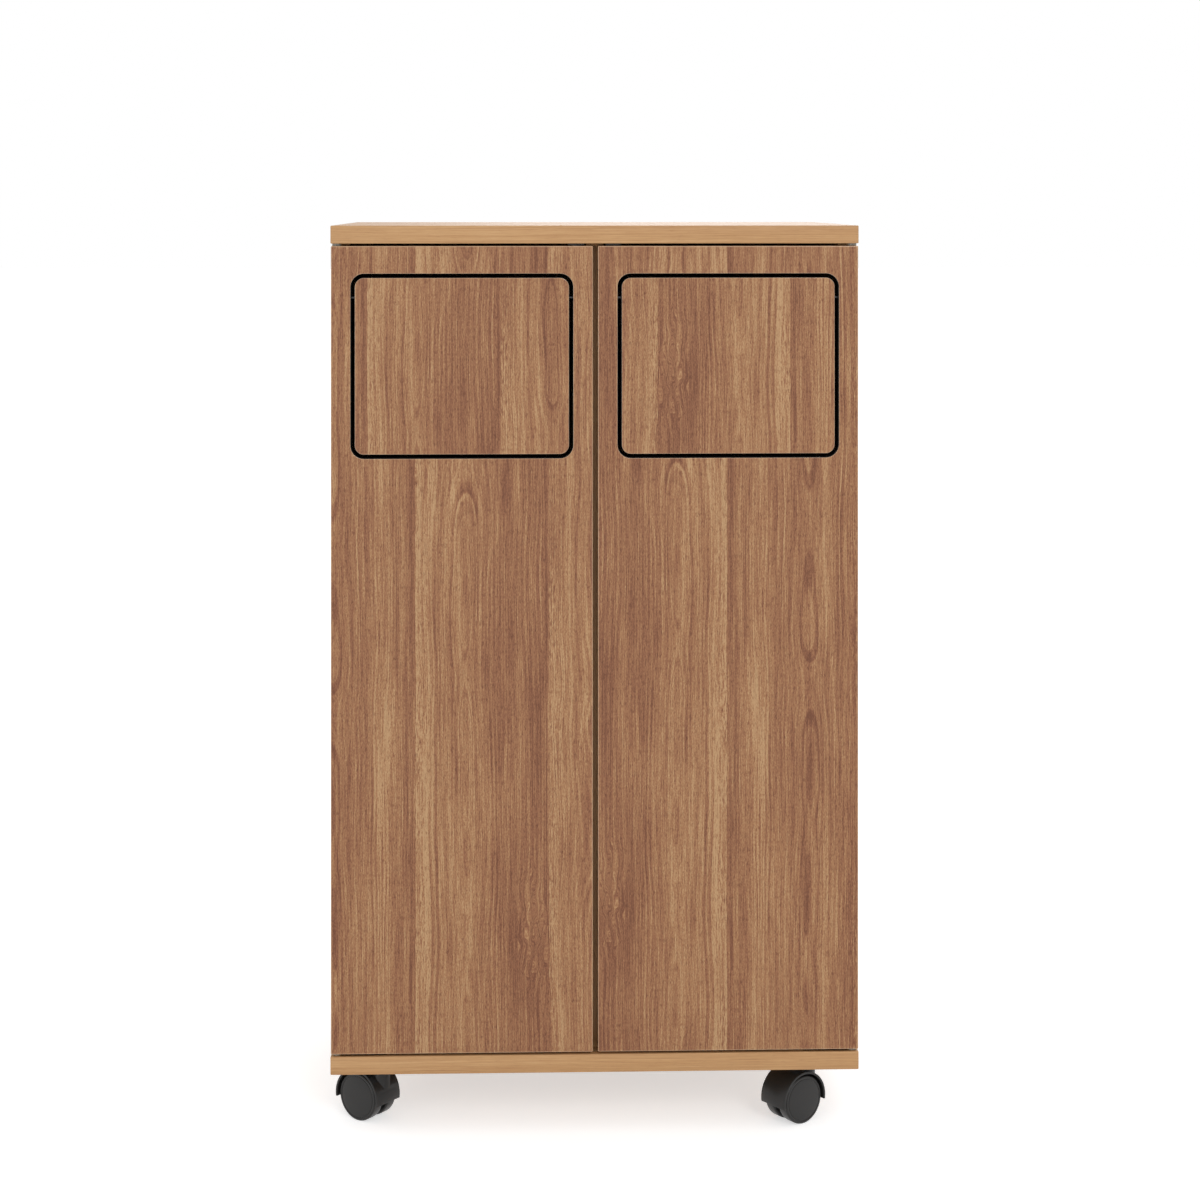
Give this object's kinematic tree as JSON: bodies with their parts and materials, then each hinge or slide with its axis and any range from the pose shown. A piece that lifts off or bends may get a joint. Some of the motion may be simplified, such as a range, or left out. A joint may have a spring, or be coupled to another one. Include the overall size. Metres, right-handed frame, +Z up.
{
  "type": "trash can cabinet",
  "caption": "Low wooden trash cabinet on casters, with side-by-side doors that each hold a swing flap over the pail behind it.",
  "frame": {"origin": "on the floor, under the middle of the cabinet", "axes": "+Z up, -Y is the front with the doors and flaps, +X is to the right of someone who faces the front"},
  "size_m": [0.53, 0.37, 0.91],
  "materials": {
    "oak_board": "satin melamine with a light oak grain",
    "walnut_board": "satin melamine with a brown walnut grain",
    "back_board": "thin fibreboard with a printed oak face",
    "beech": "raw fluted beech",
    "zinc_steel": "zinc plated",
    "brass": "satin brass",
    "white_nylon": "natural nylon",
    "grey_plastic": "fine-grained polypropylene",
    "charcoal_plastic": "satin nylon"
  },
  "bodies": {
    "cabinet": {"top_board": "oak_board", "bottom_board": "oak_board", "left_side_panel": "oak_board", "right_side_panel": "oak_board", "centre_divider": "oak_board", "back_panel": "back_board", "cam_locks": "zinc_steel", "cam_bolts": "zinc_steel", "dowels": "beech", "board_hinge_leaves": "brass", "board_leaf_screws": "zinc_steel", "hinge_washers": "white_nylon", "latch_bodies": "grey_plastic", "latch_screws": "zinc_steel", "left_pail": "grey_plastic", "right_pail": "grey_plastic", "caster_plates": "zinc_steel", "caster_screws": "zinc_steel", "king_pins": "zinc_steel", "snap_rings": "zinc_steel"},
    "left_door": {"left_door": "walnut_board", "left_flap_pins": "zinc_steel", "left_door_leaves": "brass", "left_leaf_screws": "zinc_steel", "left_strike": "zinc_steel", "left_strike_screw": "zinc_steel"},
    "left_flap": {"left_flap": "walnut_board", "left_flap_bushes": "white_nylon"},
    "left_plunger": {"left_plunger": "charcoal_plastic", "left_magnet": "zinc_steel"},
    "right_door": {"right_door": "walnut_board", "right_flap_pins": "zinc_steel", "right_door_leaves": "brass", "right_leaf_screws": "zinc_steel", "right_strike": "zinc_steel", "right_strike_screw": "zinc_steel"},
    "right_flap": {"right_flap": "walnut_board", "right_flap_bushes": "white_nylon"},
    "right_plunger": {"right_plunger": "charcoal_plastic", "right_magnet": "zinc_steel"},
    "front_left_caster": {"front_left_hood": "charcoal_plastic", "front_left_axle": "zinc_steel"},
    "front_left_wheel_a": {"front_left_wheel_a": "charcoal_plastic"},
    "front_left_wheel_b": {"front_left_wheel_b": "charcoal_plastic"},
    "front_right_caster": {"front_right_hood": "charcoal_plastic", "front_right_axle": "zinc_steel"},
    "front_right_wheel_a": {"front_right_wheel_a": "charcoal_plastic"},
    "front_right_wheel_b": {"front_right_wheel_b": "charcoal_plastic"},
    "rear_left_caster": {"rear_left_hood": "charcoal_plastic", "rear_left_axle": "zinc_steel"},
    "rear_left_wheel_a": {"rear_left_wheel_a": "charcoal_plastic"},
    "rear_left_wheel_b": {"rear_left_wheel_b": "charcoal_plastic"},
    "rear_right_caster": {"rear_right_hood": "charcoal_plastic", "rear_right_axle": "zinc_steel"},
    "rear_right_wheel_a": {"rear_right_wheel_a": "charcoal_plastic"},
    "rear_right_wheel_b": {"rear_right_wheel_b": "charcoal_plastic"}
  },
  "joints": [
    {"name": "left_door_hinge", "type": "hinge", "parent": "cabinet", "child": "left_door", "pos_m": [-0.2592, -0.176, 0.4855], "axis": [0, 0, -1], "range_deg": [0, 170]},
    {"name": "right_door_hinge", "type": "hinge", "parent": "cabinet", "child": "right_door", "pos_m": [0.2592, -0.176, 0.4855], "axis": [0, 0, 1], "range_deg": [0, 170]},
    {"name": "left_flap_swing", "type": "hinge", "parent": "left_door", "child": "left_flap", "pos_m": [-0.1336, -0.176, 0.8377], "axis": [1, 0, 0], "range_deg": [-85, 85]},
    {"name": "right_flap_swing", "type": "hinge", "parent": "right_door", "child": "right_flap", "pos_m": [0.1336, -0.176, 0.8377], "axis": [1, 0, 0], "range_deg": [-85, 85]},
    {"name": "left_latch_push", "type": "slide", "parent": "cabinet", "child": "left_plunger", "axis": [0, 1, 0], "range_m": [0, 0.002], "stiffness_N_per_m": 300, "springref_m": -0.004},
    {"name": "right_latch_push", "type": "slide", "parent": "cabinet", "child": "right_plunger", "axis": [0, 1, 0], "range_m": [0, 0.002], "stiffness_N_per_m": 300, "springref_m": -0.004},
    {"name": "front_left_swivel", "type": "hinge", "parent": "cabinet", "child": "front_left_caster", "pos_m": [-0.217, -0.143, 0.05], "axis": [0, 0, 1], "continuous": true},
    {"name": "front_left_roll_a", "type": "hinge", "parent": "front_left_caster", "child": "front_left_wheel_a", "pos_m": [-0.23118, -0.13192, 0.024], "axis": [0.6157, 0.788, 0], "continuous": true},
    {"name": "front_left_roll_b", "type": "hinge", "parent": "front_left_caster", "child": "front_left_wheel_b", "pos_m": [-0.23118, -0.13192, 0.024], "axis": [0.6157, 0.788, 0], "continuous": true},
    {"name": "front_right_swivel", "type": "hinge", "parent": "cabinet", "child": "front_right_caster", "pos_m": [0.217, -0.143, 0.05], "axis": [0, 0, 1], "continuous": true},
    {"name": "front_right_roll_a", "type": "hinge", "parent": "front_right_caster", "child": "front_right_wheel_a", "pos_m": [0.20244, -0.15358, 0.024], "axis": [-0.5878, 0.809, 0], "continuous": true},
    {"name": "front_right_roll_b", "type": "hinge", "parent": "front_right_caster", "child": "front_right_wheel_b", "pos_m": [0.20244, -0.15358, 0.024], "axis": [-0.5878, 0.809, 0], "continuous": true},
    {"name": "rear_left_swivel", "type": "hinge", "parent": "cabinet", "child": "rear_left_caster", "pos_m": [-0.217, 0.143, 0.05], "axis": [0, 0, 1], "continuous": true},
    {"name": "rear_left_roll_a", "type": "hinge", "parent": "rear_left_caster", "child": "rear_left_wheel_a", "pos_m": [-0.22857, 0.12921, 0.024], "axis": [-0.766, 0.6428, 0], "continuous": true},
    {"name": "rear_left_roll_b", "type": "hinge", "parent": "rear_left_caster", "child": "rear_left_wheel_b", "pos_m": [-0.22857, 0.12921, 0.024], "axis": [-0.766, 0.6428, 0], "continuous": true},
    {"name": "rear_right_swivel", "type": "hinge", "parent": "cabinet", "child": "rear_right_caster", "pos_m": [0.217, 0.143, 0.05], "axis": [0, 0, 1], "continuous": true},
    {"name": "rear_right_roll_a", "type": "hinge", "parent": "rear_right_caster", "child": "rear_right_wheel_a", "pos_m": [0.20009, 0.14916, 0.024], "axis": [0.342, 0.9397, 0], "continuous": true},
    {"name": "rear_right_roll_b", "type": "hinge", "parent": "rear_right_caster", "child": "rear_right_wheel_b", "pos_m": [0.20009, 0.14916, 0.024], "axis": [0.342, 0.9397, 0], "continuous": true}
  ]
}
